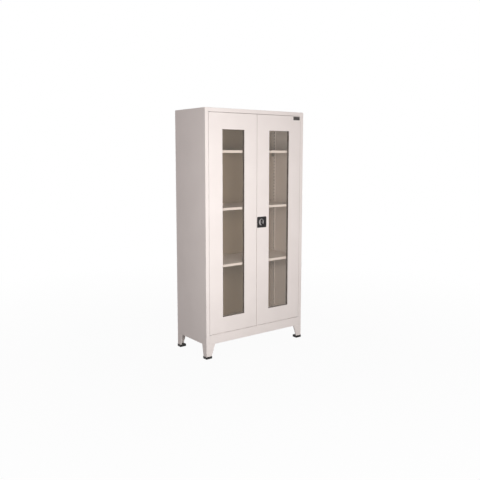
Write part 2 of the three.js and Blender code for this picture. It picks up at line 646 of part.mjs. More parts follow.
for (const [name, side] of SIDES) {
  add(`${name}_side_panel`, sidePanel(side), cream);
}
add("back_panel", backPanel(), cream);
add("top_panel", topPanel(), cream);
add("bottom_panel", bottomPanel(), cream);
add("door_header", doorHeader(), cream);
add("front_plinth", frontPlinth(), cream);

for (const [sideName, side] of SIDES) {
  for (const [endName, end] of ENDS) {
    const middle = end < 0 ? FRONT + FRONT_UPRIGHT : BACK - REAR_UPRIGHT;
    const corner = `${endName}_${sideName}`;
    add(`${corner}_leg`, leg(-side, -end), cream);
    add(`${corner}_shoe`, shoe(-side, -end), black);
    add(`${corner}_upright`, upright(side, middle), cream);
    LEVELS.forEach((level, index) => add(`${level}_${corner}_clip`, clip(side, middle, index), zinc));
  }
}
LEVELS.forEach((level, index) => add(`${level}_shelf`, shelf(index), cream));

for (const [name, side] of SIDES) {
  add(`${name}_door_pan`, doorPan(side), cream);
  add(`${name}_door_inner_panel`, doorInnerPanel(side), cream);
  add(`${name}_door_glass`, doorGlass(side), glass);
  add(`${name}_door_gasket`, doorGasket(side), rubber);
  add(`${name}_upper_pivot_pin`, pivotPin(side, OPENING_TOP, DOOR_TOP), zinc);
  add(`${name}_lower_pivot_pin`, pivotPin(side, OPENING_BOTTOM, DOOR_BOTTOM), zinc);
}
add("magnet_catch", magnetCatch(), nylon);
add("strike_plate", strikePlate(), zinc);

add("lock_plate", lockPlate(), black);
add("lock_knob", lockKnob(), chrome);
add("key_barrel", keyBarrel(), chrome);
add("lock_cam", lockCam(), zinc);
add("upper_lock_rod", lockRod(1), zinc);
add("lower_lock_rod", lockRod(-1), zinc);
add("upper_rod_guide", rodGuide(1), nylon);
add("lower_rod_guide", rodGuide(-1), nylon);

export default cabinet;
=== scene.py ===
"""Looks of the glass door medical cabinet: rounded edges, finishes, fasteners, light and camera."""
import math

import bmesh
import bpy
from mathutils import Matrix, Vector


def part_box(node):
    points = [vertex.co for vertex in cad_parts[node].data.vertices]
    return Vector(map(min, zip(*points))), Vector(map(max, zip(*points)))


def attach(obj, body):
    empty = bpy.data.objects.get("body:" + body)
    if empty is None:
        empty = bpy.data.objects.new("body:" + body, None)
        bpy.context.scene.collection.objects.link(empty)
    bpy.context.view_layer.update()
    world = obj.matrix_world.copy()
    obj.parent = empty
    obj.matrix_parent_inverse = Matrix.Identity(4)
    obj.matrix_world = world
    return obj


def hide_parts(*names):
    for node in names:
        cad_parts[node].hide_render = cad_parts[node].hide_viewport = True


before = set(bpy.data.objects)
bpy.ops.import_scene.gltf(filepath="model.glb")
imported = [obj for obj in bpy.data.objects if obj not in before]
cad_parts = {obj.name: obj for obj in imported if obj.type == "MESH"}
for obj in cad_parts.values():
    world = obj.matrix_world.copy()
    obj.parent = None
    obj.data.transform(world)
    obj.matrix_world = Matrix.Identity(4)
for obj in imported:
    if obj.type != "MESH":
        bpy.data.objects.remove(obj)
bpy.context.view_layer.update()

# Units
MM = 0.001

# Camera, fitted to the corners, windows and shelves in the photograph
CAMERA_EYE = (-2.76, -3.665, 1.468)
CAMERA_TURN = math.radians(36.886)
CAMERA_TILT = math.radians(-6.769)
CAMERA_LENS = 44.525
CAMERA_SENSOR = 36
CAMERA_SHIFT = -0.0292

# Lamps: a wide one in front, one above and one behind
LAMP_AIM = (0.0, 0.0, 1.0)
LAMP_COLOUR = (1.0, 1.0, 1.0)
KEY_PLACE = (-1.15, -2.4, 1.3)
KEY_WIDTH = 3.2
KEY_HEIGHT = 1.2
KEY_POWER = 76
TOP_PLACE = (0.0, 0.5, 4.2)
TOP_WIDTH = 3.0
TOP_HEIGHT = 2.0
TOP_POWER = 50
REAR_PLACE = (3.0, 2.6, 2.0)
REAR_WIDTH = 3.0
REAR_HEIGHT = 3.0
REAR_POWER = 150

# Room: its own light, and the share of the white background that gloss shows
ROOM_COLOUR = (1.0, 0.78, 0.78, 1)
ROOM_LIGHT = 0.15
GLOSS_SHARE = 0.5
WHITE = (1.0, 1.0, 1.0, 1)

# Floor, which glows towards white from the near to the far distance
FLOOR_SIZE = 16.0
FLOOR_COLOUR = (0.25, 0.25, 0.25, 1)
FLOOR_GLOW_NEAR = 0.96
FLOOR_GLOW_FAR = 1.0
FLOOR_NEAR = 1.0
FLOOR_FAR = 3.6

# Middle of a noise's values, over which tones and roughness change
TONE_START = 0.35
TONE_END = 0.65
ROUGH_START = 0.3
ROUGH_END = 0.7

# Finishes: the ends between which tone and roughness vary, and features of the grain to the metre
PAINT_TONES = ((0.85, 0.785, 0.75, 1), (0.88, 0.815, 0.78, 1))
# Painted shade: the back panel's inner face in a darker, warmer copy of the paint, for the cabinet's dim
# inside
INNER_BACK_SHADE_TONES = ((0.5, 0.415, 0.31, 1), (0.53, 0.44, 0.33, 1))
PAINT_ROUGH = (0.4, 0.52)
PAINT_MOTTLE = 5.0
PAINT_SHEEN = 40.0
PAINT_PEEL = 850.0
PLASTIC_TONES = ((0.013, 0.012, 0.012, 1), (0.024, 0.022, 0.022, 1))
PLASTIC_ROUGH = (0.36, 0.5)
PLASTIC_CLOUD = 30.0
PLASTIC_SHEEN = 90.0
PLASTIC_GRAIN = 2200.0
CHROME_TONES = ((0.74, 0.73, 0.73, 1), (0.82, 0.81, 0.81, 1))
CHROME_ROUGH = (0.08, 0.2)
CHROME_HAZE = 160.0
STEEL_TONES = ((0.6, 0.57, 0.57, 1), (0.7, 0.67, 0.67, 1))
STEEL_ROUGH = (0.42, 0.55)
STEEL_METAL = 0.4
STEEL_GRAIN = 700.0
ZINC_TONES = ((0.5, 0.51, 0.52, 1), (0.62, 0.62, 0.62, 1))
ZINC_ROUGH = (0.28, 0.46)
ZINC_SPANGLE = 260.0
ZINC_GRAIN = 380.0
SPANGLE_START = 0.1
SPANGLE_END = 0.7
# Dark steel behind the upright slots: its dark tone is painted shade for the slots' hollows
SLOT_SHADE_TONES = ((0.05, 0.045, 0.04, 1), (0.09, 0.082, 0.075, 1))
MILL_ROUGH = (0.5, 0.7)
MILL_METAL = 0.5
MILL_SCALE = 120.0
GLASS_TONE = (1.0, 0.975, 0.94, 1)
GLASS_ROUGH = (0.01, 0.016)
GLASS_BENDING = 1.5
GLASS_WAVE = 6.0
RUBBER_TONES = ((0.1, 0.076, 0.062, 1), (0.14, 0.108, 0.09, 1))
RUBBER_ROUGH = (0.65, 0.85)
RUBBER_DUST = 45.0
RUBBER_GRAIN = 1400.0
NYLON_TONES = ((0.72, 0.7, 0.64, 1), (0.78, 0.76, 0.71, 1))
NYLON_ROUGH = (0.4, 0.55)
NYLON_CLOUD = 60.0
NYLON_GRAIN = 900.0
BADGE_TONES = ((0.1, 0.09, 0.085, 1), (0.16, 0.15, 0.145, 1))
BADGE_ROUGH = (0.35, 0.5)
BADGE_METAL = 0.6
BADGE_LINES = 1800.0
BADGE_STRETCH = (0.03, 1.0, 1.0)

# Rounded edges: how wide both faces of a bend are, and which edges count as sharp
FOLD_LEAST_WIDTH = 6 * MM
SHARP_ANGLE = math.radians(25)
FLAT_ANGLE = math.radians(0.5)
MERGE_DISTANCE = 0.002 * MM
EDGE_STEPS = 2

# Rounding of each kind of piece, at its bends and at its cut edges
SHEET_ROUND = dict(fold=1.4 * MM, cut=0.3 * MM)
LEG_ROUND = dict(fold=2 * MM, cut=0.5 * MM)
SHOE_ROUND = dict(fold=1.2 * MM, cut=0.8 * MM)
CLIP_ROUND = dict(fold=0.8 * MM, cut=0.3 * MM)
PIN_ROUND = dict(fold=0.6 * MM, cut=0.5 * MM)
NYLON_ROUND = dict(fold=1 * MM, cut=0.6 * MM)
GLASS_ROUND = dict(fold=0.5 * MM, cut=0.5 * MM)
GASKET_ROUND = dict(fold=0.5 * MM, cut=0.3 * MM)
STRIKE_ROUND = dict(fold=0.5 * MM, cut=0.3 * MM)
LOCK_PLATE_ROUND = dict(fold=1.2 * MM, cut=0.9 * MM)
ROD_ROUND = dict(fold=0.6 * MM, cut=0.4 * MM)
CAM_ROUND = dict(fold=0.5 * MM, cut=0.4 * MM)
BARREL_ROUND = dict(fold=0.5 * MM, cut=0.4 * MM)
FIN_ROUND = dict(fold=2 * MM, cut=0.6 * MM)

# How far to the front a face of the back panel points that looks into the cabinet, and so gets the
# painted shade
INNER_FACE_LIMIT = -0.9

# Bare badge plate on the right door's upper corner
BADGE_WIDTH = 64 * MM
BADGE_HEIGHT = 26 * MM
BADGE_THICK = 0.9 * MM
BADGE_CORNER = 3 * MM
BADGE_CORNER_STEPS = 6
BADGE_SIDE_INSET = 7 * MM
BADGE_TOP_INSET = 4 * MM

# Lock knob
DISH_WALL = 2 * MM
DISC_GAP = 0.3 * MM
DISC_THICK = 3 * MM
DISC_EDGE = 0.5 * MM
DISC_GROOVE = 19 * MM
SHAFT_RADIUS = 5 * MM
FIN_LIFT = 0.05 * MM
TURNED_STEPS = 48

# Gap between a thin lining and the sheet that it lies on
LINING_SEAT = 0.05 * MM

# Rubber strip that lines each window behind the glass; its dark tone over the reveal's whole depth is
# painted shade of the reveal
GLASS_LAP = 12 * MM
STRIP_WALL = 0.7 * MM
STRIP_GAP = 0.3 * MM

# Dark steel strip behind the slots of each upright: painted shade that darkens the slots' hollows
LINER_THICK = 0.8 * MM
LINER_INSET = 2.5 * MM

# Fastener heads: the crown is the share of the radius that is left at the top
RIVET_RADIUS = 3.2 * MM
RIVET_HEIGHT = 1.1 * MM
RIVET_CROWN = 0.55
SCREW_RADIUS = 3.6 * MM
SCREW_HEIGHT = 1.3 * MM
SCREW_CROWN = 0.75
BOLT_RADIUS = 6.5 * MM
BOLT_HEIGHT = 4 * MM
BOLT_CROWN = 0.94
ROUND_SIDES = 18
BOLT_SIDES = 6

# Fastener rows: rivets up the back, screws up the inner door panels, two bolts under each leg's top
RIVET_SIDE_INSET = 7.5 * MM
RIVET_LOW_INSET = 60 * MM
RIVET_HIGH_INSET = 40 * MM
RIVET_COUNT = 9
SCREW_SIDE_INSET = 14 * MM
SCREW_END_INSET = 70 * MM
SCREW_COUNT = 7
BOLT_OFFSET = 10 * MM
BOLT_DROP = 2 * MM
BOLT_COUNT = 2

# Parts of the names of nodes
SIDES = ("left", "right")
CORNERS = ("front_left", "front_right", "rear_left", "rear_right")
LEVELS = ("lower", "middle", "upper")
ENDS = ("upper", "lower")


# Materials

def blank_material(name):
    """A new node material, with its node tree, its Principled shader and its Object coordinates."""
    material = bpy.data.materials.new(name)
    material.use_nodes = True
    tree = material.node_tree
    shader = tree.nodes["Principled BSDF"]
    place = tree.nodes.new("ShaderNodeTexCoord")
    return material, tree, shader, place.outputs["Object"]


def noise(tree, place, scale, detail=2.0):
    """The grey value of a noise with that many features to the metre."""
    node = tree.nodes.new("ShaderNodeTexNoise")
    node.inputs["Scale"].default_value = scale
    node.inputs["Detail"].default_value = detail
    tree.links.new(place, node.inputs["Vector"])
    return node.outputs["Fac"]


def colour_by(tree, shader, value, tones, start=TONE_START, end=TONE_END):
    """Gives the shader a colour that goes from one tone to the other as value goes from start to end."""
    node = tree.nodes.new("ShaderNodeValToRGB")
    first, last = node.color_ramp.elements
    first.position = start
    first.color = tones[0]
    last.position = end
    last.color = tones[1]
    tree.links.new(value, node.inputs["Fac"])
    tree.links.new(node.outputs["Color"], shader.inputs["Base Color"])


def rough_by(tree, shader, value, ends):
    """Gives the shader a roughness that goes from one end to the other with value."""
    node = tree.nodes.new("ShaderNodeMapRange")
    node.inputs["From Min"].default_value = ROUGH_START
    node.inputs["From Max"].default_value = ROUGH_END
    node.inputs["To Min"].default_value = ends[0]
    node.inputs["To Max"].default_value = ends[1]
    tree.links.new(value, node.inputs["Value"])
    tree.links.new(node.outputs["Result"], shader.inputs["Roughness"])


def bump(tree, shader, height, strength, depth):
    """Gives the shader small bumps of that depth."""
    node = tree.nodes.new("ShaderNodeBump")
    node.inputs["Strength"].default_value = strength
    node.inputs["Distance"].default_value = depth
    tree.links.new(height, node.inputs["Height"])
    tree.links.new(node.outputs["Normal"], shader.inputs["Normal"])


def powder_coat(name, tones):
    """Satin powder coat: orange peel about a millimetre across and faint mottling between two tones."""
    material, tree, shader, place = blank_material(name)
    colour_by(tree, shader, noise(tree, place, PAINT_MOTTLE, detail=4.0), tones)
    rough_by(tree, shader, noise(tree, place, PAINT_SHEEN), PAINT_ROUGH)
    bump(tree, shader, noise(tree, place, PAINT_PEEL), strength=0.12, depth=0.15 * MM)
    return material


def black_plastic():
    """Moulded black plastic with a fine spark-eroded grain."""
    material, tree, shader, place = blank_material("black_plastic")
    colour_by(tree, shader, noise(tree, place, PLASTIC_CLOUD), PLASTIC_TONES)
    rough_by(tree, shader, noise(tree, place, PLASTIC_SHEEN), PLASTIC_ROUGH)
    bump(tree, shader, noise(tree, place, PLASTIC_GRAIN), strength=0.25, depth=0.06 * MM)
    return material


def chrome_plate():
    """Polished chrome with faint handling haze."""
    material, tree, shader, place = blank_material("chrome_plate")
    shader.inputs["Metallic"].default_value = 1.0
    haze = noise(tree, place, CHROME_HAZE, detail=3.0)
    colour_by(tree, shader, haze, CHROME_TONES)
    rough_by(tree, shader, haze, CHROME_ROUGH)
    return material


def turned_steel():
    """Satin steel with a fine grain, dull enough to look the same from all sides."""
    material, tree, shader, place = blank_material("turned_steel")
    shader.inputs["Metallic"].default_value = STEEL_METAL
    grain = noise(tree, place, STEEL_GRAIN, detail=3.0)
    colour_by(tree, shader, grain, STEEL_TONES)
    rough_by(tree, shader, grain, STEEL_ROUGH)
    return material


def zinc_steel():
    """Zinc plated steel with a small soft spangle."""
    material, tree, shader, place = blank_material("zinc_steel")
    shader.inputs["Metallic"].default_value = 1.0
    spangle = tree.nodes.new("ShaderNodeTexVoronoi")
    spangle.inputs["Scale"].default_value = ZINC_SPANGLE
    tree.links.new(place, spangle.inputs["Vector"])
    grain = noise(tree, place, ZINC_GRAIN)
    colour_by(tree, shader, spangle.outputs["Distance"], ZINC_TONES, SPANGLE_START, SPANGLE_END)
    rough_by(tree, shader, grain, ZINC_ROUGH)
    bump(tree, shader, grain, strength=0.1, depth=0.05 * MM)
    return material


def slot_shade_steel():
    """Dark steel with a mill-scale grain; its dark tone is painted shade for the hollows behind the
    slots.
    """
    material, tree, shader, place = blank_material("slot_shade_steel")
    shader.inputs["Metallic"].default_value = MILL_METAL
    scale = noise(tree, place, MILL_SCALE, detail=4.0)
    colour_by(tree, shader, scale, SLOT_SHADE_TONES)
    rough_by(tree, shader, scale, MILL_ROUGH)
    return material


def clear_glass():
    """Lightly toned float glass that lets light through to the shelves."""
    material, tree, shader, place = blank_material("clear_glass")
    shader.inputs["Base Color"].default_value = GLASS_TONE
    shader.inputs["Transmission Weight"].default_value = 1.0
    shader.inputs["IOR"].default_value = GLASS_BENDING
    rough_by(tree, shader, noise(tree, place, GLASS_WAVE), GLASS_ROUGH)
    path = tree.nodes.new("ShaderNodeLightPath")
    clear = tree.nodes.new("ShaderNodeBsdfTransparent")
    clear.inputs["Color"].default_value = GLASS_TONE
    mix = tree.nodes.new("ShaderNodeMixShader")
    tree.links.new(path.outputs["Is Shadow Ray"], mix.inputs["Fac"])
    tree.links.new(shader.outputs["BSDF"], mix.inputs[1])
    tree.links.new(clear.outputs["BSDF"], mix.inputs[2])
    tree.links.new(mix.outputs["Shader"], tree.nodes["Material Output"].inputs["Surface"])
    return material


def glazing_rubber():
    """Dull brown-black glazing rubber."""
    material, tree, shader, place = blank_material("glazing_rubber")
    dust = noise(tree, place, RUBBER_DUST, detail=5.0)
    colour_by(tree, shader, dust, RUBBER_TONES)
    rough_by(tree, shader, dust, RUBBER_ROUGH)
    bump(tree, shader, noise(tree, place, RUBBER_GRAIN), strength=0.2, depth=0.08 * MM)
    return material


def white_nylon():
    """Moulded nylon, slightly waxy."""
    material, tree, shader, place = blank_material("white_nylon")
    cloud = noise(tree, place, NYLON_CLOUD)
    colour_by(tree, shader, cloud, NYLON_TONES)
    rough_by(tree, shader, cloud, NYLON_ROUGH)
    bump(tree, shader, noise(tree, place, NYLON_GRAIN), strength=0.15, depth=0.05 * MM)
    return material


def badge_metal():
    """Dark anodised plate brushed along its length."""
    material, tree, shader, place = blank_material("badge_metal")
    shader.inputs["Metallic"].default_value = BADGE_METAL
    stretch = tree.nodes.new("ShaderNodeMapping")
    stretch.inputs["Scale"].default_value = BADGE_STRETCH
    tree.links.new(place, stretch.inputs["Vector"])
    lines = noise(tree, stretch.outputs["Vector"], BADGE_LINES, detail=3.0)
    colour_by(tree, shader, lines, BADGE_TONES)
    rough_by(tree, shader, lines, BADGE_ROUGH)
    return material


PAINT = powder_coat("powder_coat", PAINT_TONES)
# Painted shade for the inner face of the back panel
INNER_BACK_SHADE = powder_coat("inner_back_painted_shade", INNER_BACK_SHADE_TONES)
PLASTIC = black_plastic()
CHROME = chrome_plate()
STEEL = turned_steel()
ZINC = zinc_steel()
# Dark steel behind the slots, as painted shade
SLOT_SHADE_STEEL = slot_shade_steel()
GLASS = clear_glass()
RUBBER = glazing_rubber()
NYLON = white_nylon()
BADGE = badge_metal()


# Pieces made from the solids, with their edges rounded

def new_piece(name, shape, material):
    """A piece of that shape, which is freed."""
    mesh = bpy.data.meshes.new(name)
    shape.to_mesh(mesh)
    shape.free()
    mesh.materials.append(material)
    piece = bpy.data.objects.new(name, mesh)
    bpy.context.scene.collection.objects.link(piece)
    return piece


def smooth_piece(name, shape, material):
    """A piece of that shape, shaded smooth except at its sharp edges."""
    for face in shape.faces:
        face.smooth = True
    piece = new_piece(name, shape, material)
    piece.data.set_sharp_from_angle(angle=SHARP_ANGLE)
    return piece


def merged_copy(node):
    """The node's solid with its loose triangles joined into flat faces."""
    shape = bmesh.new()
    shape.from_mesh(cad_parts[node].data)
    bmesh.ops.remove_doubles(shape, verts=shape.verts, dist=MERGE_DISTANCE)
    bmesh.ops.dissolve_limit(shape, angle_limit=FLAT_ANGLE, verts=shape.verts, edges=shape.edges)
    return shape


def is_fold(edge):
    """True where two wide faces of a sheet meet on its outside, as at a bend."""
    if not edge.is_convex:
        return False
    length = edge.calc_length()
    return all(face.calc_area() / length > FOLD_LEAST_WIDTH for face in edge.link_faces)


def weigh_edges(shape, cut_share):
    """Marks the sharp edges for rounding: bends in full, cut edges by their share of it."""
    weight = shape.edges.layers.float.new("bevel_weight_edge")
    for edge in shape.edges:
        if len(edge.link_faces) == 2 and edge.calc_face_angle() > SHARP_ANGLE:
            edge[weight] = 1.0 if is_fold(edge) else cut_share


def round_edges(piece, radius):
    """Rounds the marked edges of the piece."""
    bevel = piece.modifiers.new("rounded_edges", "BEVEL")
    bevel.limit_method = "WEIGHT"
    bevel.width = radius
    bevel.segments = EDGE_STEPS
    bevel.use_clamp_overlap = True
    bevel.harden_normals = True


def rounded_piece(name, shape, material, body, fold, cut):
    """A piece of that shape, with its bends and its cut edges rounded, that moves with the body."""
    weigh_edges(shape, cut / fold)
    piece = smooth_piece(name, shape, material)
    round_edges(piece, fold)
    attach(piece, body)
    return piece


def dressed(node, material, body, rounding=SHEET_ROUND):
    """The piece that stands for a CAD node: the same solid with its edges rounded."""
    piece = rounded_piece(node + "_finished", merged_copy(node), material, body, **rounding)
    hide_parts(node)
    return piece


def back():
    """The back panel: carcass paint outside, and on its inner face painted shade in a darker, warmer
    copy.
    """
    panel = dressed("back_panel", PAINT, "cabinet")
    panel.data.materials.append(INNER_BACK_SHADE)
    # Faces that look into the cabinet take the painted shade
    for face in panel.data.polygons:
        if face.normal.y < INNER_FACE_LIMIT:
            face.material_index = 1


def carcass():
    """Everything that stands still."""
    for node in ("left_side_panel", "right_side_panel", "top_panel", "bottom_panel", "door_header",
                 "front_plinth"):
        dressed(node, PAINT, "cabinet")
    back()
    for corner in CORNERS:
        dressed(corner + "_leg", PAINT, "cabinet", LEG_ROUND)
        dressed(corner + "_shoe", PLASTIC, "cabinet", SHOE_ROUND)
        dressed(corner + "_upright", PAINT, "cabinet")
        for level in LEVELS:
            dressed(f"{level}_{corner}_clip", ZINC, "cabinet", CLIP_ROUND)
    for level in LEVELS:
        dressed(level + "_shelf", PAINT, "cabinet")
    for side in SIDES:
        for end in ENDS:
            dressed(f"{side}_{end}_pivot_pin", ZINC, "cabinet", PIN_ROUND)
    dressed("magnet_catch", NYLON, "cabinet", NYLON_ROUND)


def doors():
    """Both doors, without the lock."""
    for side in SIDES:
        body = side + "_door"
        dressed(body + "_pan", PAINT, body)
        dressed(body + "_inner_panel", PAINT, body)
        dressed(body + "_glass", GLASS, body, GLASS_ROUND)
        dressed(body + "_gasket", RUBBER, body, GASKET_ROUND)
    dressed("strike_plate", ZINC, "left_door", STRIKE_ROUND)


def lock():
    """The lock on the right door."""
    dressed("lock_plate", PLASTIC, "right_door", LOCK_PLATE_ROUND)
    for end in ENDS:
        dressed(end + "_rod_guide", NYLON, "right_door", NYLON_ROUND)
        dressed(end + "_lock_rod", ZINC, end + "_rod", ROD_ROUND)
    dressed("lock_cam", ZINC, "lock_handle", CAM_ROUND)
    dressed("key_barrel", CHROME, "key_lock", BARREL_ROUND)
    knob_disc()
    knob_fin()


# Lock knob: a turned steel disc with a black grip fin across it

def knob_levels():
    """Where the knob's disc starts and ends from front to back."""
    dish_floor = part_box("lock_plate")[1].y - DISH_WALL
    rear = dish_floor - DISC_GAP
    return rear - DISC_THICK, rear


def turned(name, axis, profile, material):
    """A solid turned about the axis, which points to the front, from (radius, depth) points."""
    shape = bmesh.new()
    rim = [shape.verts.new((axis.x + radius, depth, axis.z)) for radius, depth in profile]
    edges = [shape.edges.new(pair) for pair in zip(rim, rim[1:])]
    bmesh.ops.spin(shape, geom=rim + edges, cent=axis, axis=(0, 1, 0), angle=2 * math.pi,
                   steps=TURNED_STEPS)
    bmesh.ops.remove_doubles(shape, verts=shape.verts, dist=MERGE_DISTANCE)
    bmesh.ops.recalc_face_normals(shape, faces=shape.faces)
    return smooth_piece(name, shape, material)


def knob_disc():
    """The disc, with a groove in its face and the shaft behind it."""
    front, rear = knob_levels()
    low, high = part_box("lock_knob")
    radius = (high.x - low.x) / 2
    edge = DISC_EDGE
    face = ((0, front), (DISC_GROOVE - edge, front), (DISC_GROOVE, front + edge),
            (DISC_GROOVE + edge, front), (radius - edge, front))
    rim = ((radius, front + edge), (radius, rear))
    shaft = ((SHAFT_RADIUS, rear), (SHAFT_RADIUS, high.y), (0, high.y))
    disc = turned("knob_disc", (low + high) / 2, face + rim + shaft, STEEL)
    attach(disc, "lock_handle")
    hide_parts("lock_knob")


def knob_fin():
    """The grip fin: what stands out of the disc's face."""
    front, _ = knob_levels()
    shape = merged_copy("lock_knob")
    everything = shape.verts[:] + shape.edges[:] + shape.faces[:]
    bmesh.ops.bisect_plane(shape, geom=everything, plane_co=(0, front - FIN_LIFT, 0),
                           plane_no=(0, 1, 0), clear_outer=True)
    open_edges = [edge for edge in shape.edges if edge.is_boundary]
    bmesh.ops.triangle_fill(shape, edges=open_edges, use_beauty=True)
    bmesh.ops.recalc_face_normals(shape, faces=shape.faces)
    fin = rounded_piece("knob_fin", shape, PLASTIC, "lock_handle", **FIN_ROUND)


# Bare badge plate

def extruded(name, rim, step, material):
    """A solid with the rim's outline at one end, and its other end a step away."""
    shape = bmesh.new()
    end = shape.faces.new([shape.verts.new(point) for point in rim])
    grown = bmesh.ops.extrude_face_region(shape, geom=[end])
    moved = [item for item in grown["geom"] if isinstance(item, bmesh.types.BMVert)]
    bmesh.ops.translate(shape, verts=moved, vec=step)
    bmesh.ops.recalc_face_normals(shape, faces=shape.faces)
    return new_piece(name, shape, material)


def round_corners(low, high, corner, steps):
    """Points round an upright rectangle with round corners, at its rear."""
    centres = ((high.x - corner, high.z - corner, 0), (low.x + corner, high.z - corner, 90),
               (low.x + corner, low.z + corner, 180), (high.x - corner, low.z + corner, 270))
    rim = []
    for x, z, start in centres:
        for step in range(steps + 1):
            angle = math.radians(start + 90 * step / steps)
            rim.append((x + corner * math.cos(angle), high.y, z + corner * math.sin(angle)))
    return rim


def badge():
    """A bare plate where the real cabinet has its badge."""
    low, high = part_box("right_door_pan")
    right = high.x - BADGE_SIDE_INSET
    top = high.z - BADGE_TOP_INSET
    plate_low = Vector((right - BADGE_WIDTH, low.y - BADGE_THICK, top - BADGE_HEIGHT))
    plate_high = Vector((right, low.y, top))
    rim = round_corners(plate_low, plate_high, BADGE_CORNER, BADGE_CORNER_STEPS)
    plate = extruded("badge_plate", rim, (0, plate_low.y - plate_high.y, 0), BADGE)
    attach(plate, "right_door")


# Window strips and slot liners: dark pieces that add painted shade to the window reveals and the upright
# slots

def add_loops(shape, loops):
    """Quads between each loop of points and the next, and from the last to the first."""
    rows = [[shape.verts.new(point) for point in loop] for loop in loops]
    for row, following in zip(rows, rows[1:] + rows[:1]):
        for index in range(len(row)):
            after = (index + 1) % len(row)
            shape.faces.new((row[index], row[after], following[after], following[index]))


def upright_loop(low, high, y):
    """The corners of an upright rectangle at that depth."""
    return [(low.x, y, low.z), (high.x, y, low.z), (high.x, y, high.z), (low.x, y, high.z)]


def window_shade_strip(side):
    """A thin dark rubber frame in the window, from the glass to the door's rear, that paints the
    reveal's shade.
    """
    body = side + "_door"
    glass_low, glass_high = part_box(body + "_glass")
    lap = Vector((GLASS_LAP + LINING_SEAT, 0, GLASS_LAP + LINING_SEAT))
    wall = Vector((STRIP_WALL, 0, STRIP_WALL))
    low = glass_low + lap
    high = glass_high - lap
    near = glass_high.y + STRIP_GAP
    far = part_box(body + "_pan")[1].y - STRIP_GAP
    shape = bmesh.new()
    add_loops(shape, (upright_loop(low, high, near), upright_loop(low + wall, high - wall, near),
                      upright_loop(low + wall, high - wall, far), upright_loop(low, high, far)))
    bmesh.ops.recalc_face_normals(shape, faces=shape.faces)
    # Dark rubber over the whole reveal, partly glazing seal and partly painted shade
    strip = new_piece(side + "_window_shade_strip", shape, RUBBER)
    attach(strip, body)


def slot_shade_liner(corner):
    """A flat dark steel strip on the side panel, seen through the upright's slots as painted shade in
    them.
    """
    low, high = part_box(corner + "_upright")
    wall = high.x if "right" in corner else low.x
    inward = -1 if "right" in corner else 1
    faces = sorted((wall + inward * LINING_SEAT, wall + inward * (LINING_SEAT + LINER_THICK)))
    inset = Vector((0, LINER_INSET, LINER_INSET))
    low = Vector((faces[0], low.y, low.z)) + inset
    high = Vector((faces[1], high.y, high.z)) - inset
    rim = upright_loop(low, high, low.y)
    liner = extruded(corner + "_slot_shade_liner", rim, (0, high.y - low.y, 0), SLOT_SHADE_STEEL)
    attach(liner, "cabinet")


# Fasteners: rows of heads made by geometry nodes

FACING = {"back": (-math.pi / 2, 0, 0), "down": (math.pi, 0, 0)}
HEADS = {
    "rivet": dict(Radius=RIVET_RADIUS, Height=RIVET_HEIGHT, Sides=ROUND_SIDES, Crown=RIVET_CROWN),
    "screw": dict(Radius=SCREW_RADIUS, Height=SCREW_HEIGHT, Sides=ROUND_SIDES, Crown=SCREW_CROWN),
    "bolt": dict(Radius=BOLT_RADIUS, Height=BOLT_HEIGHT, Sides=BOLT_SIDES, Crown=BOLT_CROWN),
}


def fastener_tree():
    """Heads in a row from start to end: a round or many-sided head, turned to face out of its panel."""
    tree = bpy.data.node_groups.new("fastener_row", "GeometryNodeTree")
    sockets = (("Start", "NodeSocketVector"), ("End", "NodeSocketVector"),
               ("Count", "NodeSocketInt"), ("Radius", "NodeSocketFloat"),
               ("Height", "NodeSocketFloat"), ("Sides", "NodeSocketInt"),
               ("Crown", "NodeSocketFloat"), ("Turn", "NodeSocketVector"),
               ("Material", "NodeSocketMaterial"))
    for name, kind in sockets:
        tree.interface.new_socket(name, in_out="INPUT", socket_type=kind)
    tree.interface.new_socket("Geometry", in_out="OUTPUT", socket_type="NodeSocketGeometry")
    given = tree.nodes.new("NodeGroupInput")
    result = tree.nodes.new("NodeGroupOutput")
    line = tree.nodes.new("GeometryNodeMeshLine")
    line.mode = "END_POINTS"
    crown = tree.nodes.new("ShaderNodeMath")
    crown.operation = "MULTIPLY"
    head = tree.nodes.new("GeometryNodeMeshCone")
    place = tree.nodes.new("GeometryNodeInstanceOnPoints")
    real = tree.nodes.new("GeometryNodeRealizeInstances")
    coat = tree.nodes.new("GeometryNodeSetMaterial")
    wires = ((given.outputs["Start"], line.inputs["Start Location"]),
             (given.outputs["End"], line.inputs["Offset"]),
             (given.outputs["Count"], line.inputs["Count"]),
             (given.outputs["Radius"], crown.inputs[0]),
             (given.outputs["Crown"], crown.inputs[1]),
             (given.outputs["Sides"], head.inputs["Vertices"]),
             (crown.outputs["Value"], head.inputs["Radius Top"]),
             (given.outputs["Radius"], head.inputs["Radius Bottom"]),
             (given.outputs["Height"], head.inputs["Depth"]),
             (line.outputs["Mesh"], place.inputs["Points"]),
             (head.outputs["Mesh"], place.inputs["Instance"]),
             (given.outputs["Turn"], place.inputs["Rotation"]),
             (place.outputs["Instances"], real.inputs["Geometry"]),
             (real.outputs["Geometry"], coat.inputs["Geometry"]),
             (given.outputs["Material"], coat.inputs["Material"]),
             (coat.outputs["Geometry"], result.inputs["Geometry"]))
    for source, target in wires:
        tree.links.new(source, target)
    return tree


def socket_of(tree, name):
    """The modifier's own key for an input of the tree."""
    return next(item.identifier for item in tree.interface.items_tree
                if item.name == name and item.in_out == "INPUT")


